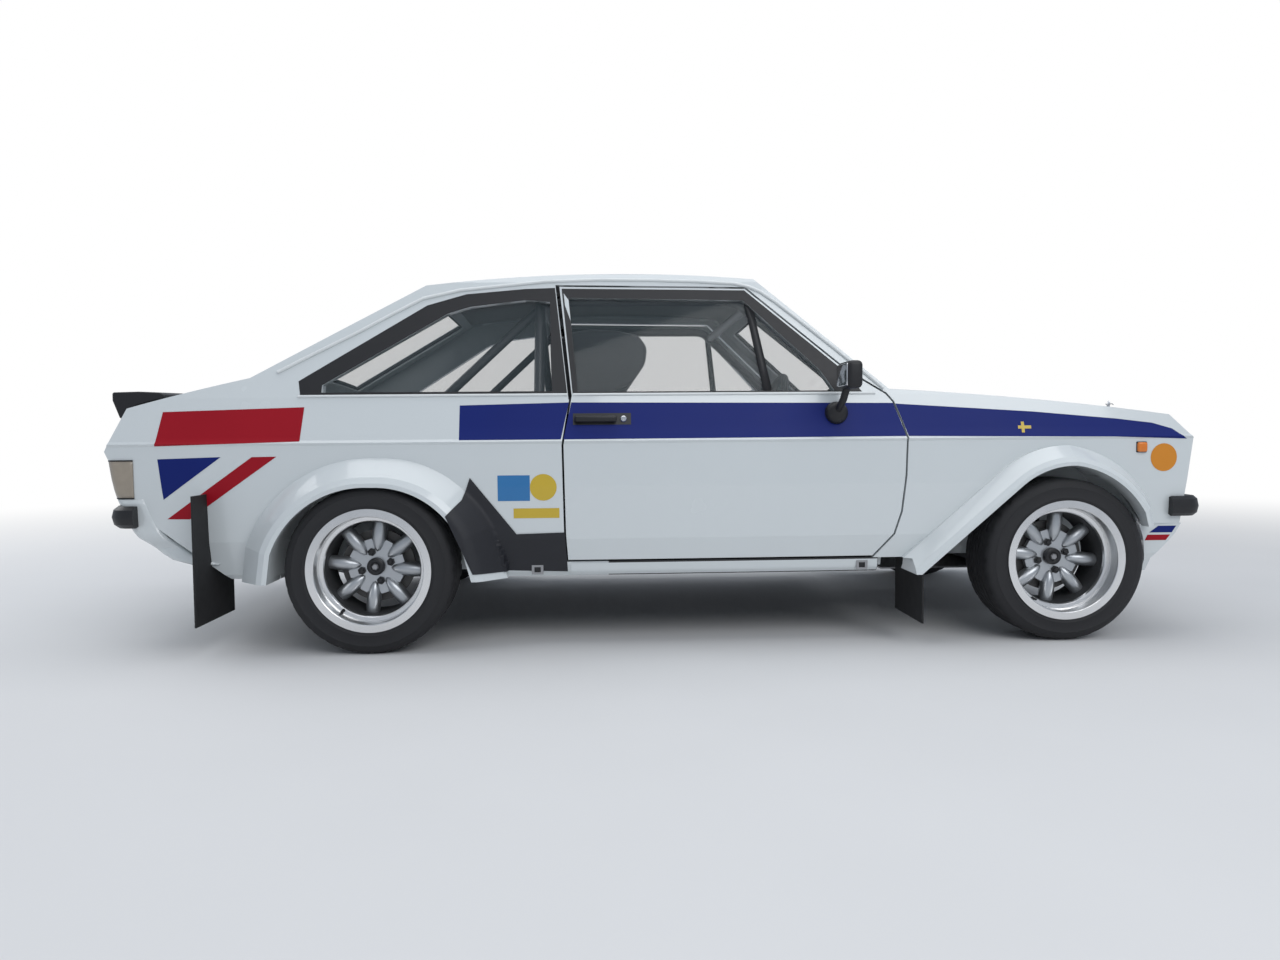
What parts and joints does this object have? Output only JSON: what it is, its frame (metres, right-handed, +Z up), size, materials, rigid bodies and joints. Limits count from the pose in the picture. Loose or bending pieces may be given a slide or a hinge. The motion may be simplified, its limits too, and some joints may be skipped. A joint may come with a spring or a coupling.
{
  "type": "two-door rally saloon car",
  "caption": "Two-door rally saloon with flared arches, alloy wheels, roll cage, opening doors, bonnet and boot, and coupled steering.",
  "frame": {"origin": "on the ground under the middle of the car", "axes": "+X forward, +Y to the car's left, +Z up"},
  "size_m": [3.9084, 1.9, 1.3491],
  "materials": {
    "body_white": "gloss",
    "black_paint": "satin",
    "underbody": "matt",
    "black_plastic": "matt",
    "glass": "polished",
    "lamp_glass": "polished",
    "tail_lens": "gloss",
    "alloy": "satin",
    "tyre": "matt",
    "rubber": "matt",
    "steel": "satin",
    "cast_iron": "matt",
    "fabric": "woven",
    "cage_paint": "satin"
  },
  "bodies": {
    "body": {"floor_pan": "underbody", "engine_bay": "body_white", "quarter_left": "body_white", "quarter_right": "body_white", "wing_left": "body_white", "wing_right": "body_white", "roof": "body_white", "front_panel": "body_white", "rear_panel": "body_white", "front_spoiler": "body_white", "grille": "black_plastic", "headlamps": "lamp_glass", "tail_lamps": "tail_lens", "bumpers": "black_paint", "fixed_glass": "glass", "mud_flaps": "rubber", "sump_guard": "steel", "roll_cage": "cage_paint", "seats": "fabric", "dashboard": "black_plastic", "engine": "cast_iron", "radiator": "black_paint", "front_crossmember": "black_paint", "rear_axle": "black_paint", "leaf_springs": "steel", "propshaft": "steel", "exhaust": "steel"},
    "door_left": {"door_left": "body_white", "door_glass_left": "glass", "mirror_left": "black_plastic"},
    "door_right": {"door_right": "body_white", "door_glass_right": "glass", "mirror_right": "black_plastic"},
    "bonnet": {"bonnet": "body_white"},
    "boot_lid": {"boot_lid": "body_white", "rear_spoiler": "black_plastic"},
    "steering_wheel": {"steering_wheel": "black_plastic"},
    "knuckle_left": {"strut_left": "black_paint"},
    "knuckle_right": {"strut_right": "black_paint"},
    "wheel_front_left": {"tyre_front_left": "tyre", "rim_front_left": "alloy", "brake_disc_front_left": "cast_iron"},
    "wheel_rear_left": {"tyre_rear_left": "tyre", "rim_rear_left": "alloy", "brake_disc_rear_left": "cast_iron"},
    "wheel_front_right": {"tyre_front_right": "tyre", "rim_front_right": "alloy", "brake_disc_front_right": "cast_iron"},
    "wheel_rear_right": {"tyre_rear_right": "tyre", "rim_rear_right": "alloy", "brake_disc_rear_right": "cast_iron"}
  },
  "joints": [
    {"name": "door_left_hinge", "type": "hinge", "parent": "body", "child": "door_left", "pos_m": [0.881, 0.772, 0.6], "axis": [0, 0, -1], "range_deg": [0, 62]},
    {"name": "door_right_hinge", "type": "hinge", "parent": "body", "child": "door_right", "pos_m": [0.881, -0.772, 0.6], "axis": [0, 0, 1], "range_deg": [0, 62]},
    {"name": "bonnet_hinge", "type": "hinge", "parent": "body", "child": "bonnet", "pos_m": [0.85, 0, 0.893], "axis": [0, -1, 0], "range_deg": [0, 50]},
    {"name": "boot_hinge", "type": "hinge", "parent": "body", "child": "boot_lid", "pos_m": [-1.42, 0, 0.945], "axis": [0, 1, 0], "range_deg": [0, 60]},
    {"name": "steer_left", "type": "hinge", "parent": "body", "child": "knuckle_left", "pos_m": [1.41, 0.64, 0.19], "axis": [-0.0479, -0.2234, 0.9735], "range_deg": [-30, 30]},
    {"name": "steer_right", "type": "hinge", "parent": "body", "child": "knuckle_right", "pos_m": [1.41, -0.64, 0.19], "axis": [-0.0479, 0.2234, 0.9735], "range_deg": [-30, 30]},
    {"name": "steering_wheel_turn", "type": "hinge", "parent": "body", "child": "steering_wheel", "pos_m": [0.45, -0.362, 0.79], "axis": [-0.9363, 0, 0.3511], "range_deg": [-390, 390]},
    {"name": "wheel_front_left_spin", "type": "hinge", "parent": "knuckle_left", "child": "wheel_front_left", "pos_m": [1.41, 0.722, 0.286], "axis": [0, 1, 0], "continuous": true},
    {"name": "wheel_front_right_spin", "type": "hinge", "parent": "knuckle_right", "child": "wheel_front_right", "pos_m": [1.41, -0.722, 0.286], "axis": [0, 1, 0], "continuous": true},
    {"name": "wheel_rear_left_spin", "type": "hinge", "parent": "body", "child": "wheel_rear_left", "pos_m": [-0.997, 0.736, 0.286], "axis": [0, 1, 0], "continuous": true},
    {"name": "wheel_rear_right_spin", "type": "hinge", "parent": "body", "child": "wheel_rear_right", "pos_m": [-0.997, -0.736, 0.286], "axis": [0, 1, 0], "continuous": true}
  ],
  "couplings": [
    {"joint": "steer_right", "follows": "steer_left", "ratio": 1},
    {"joint": "steering_wheel_turn", "follows": "steer_left", "ratio": 13}
  ]
}
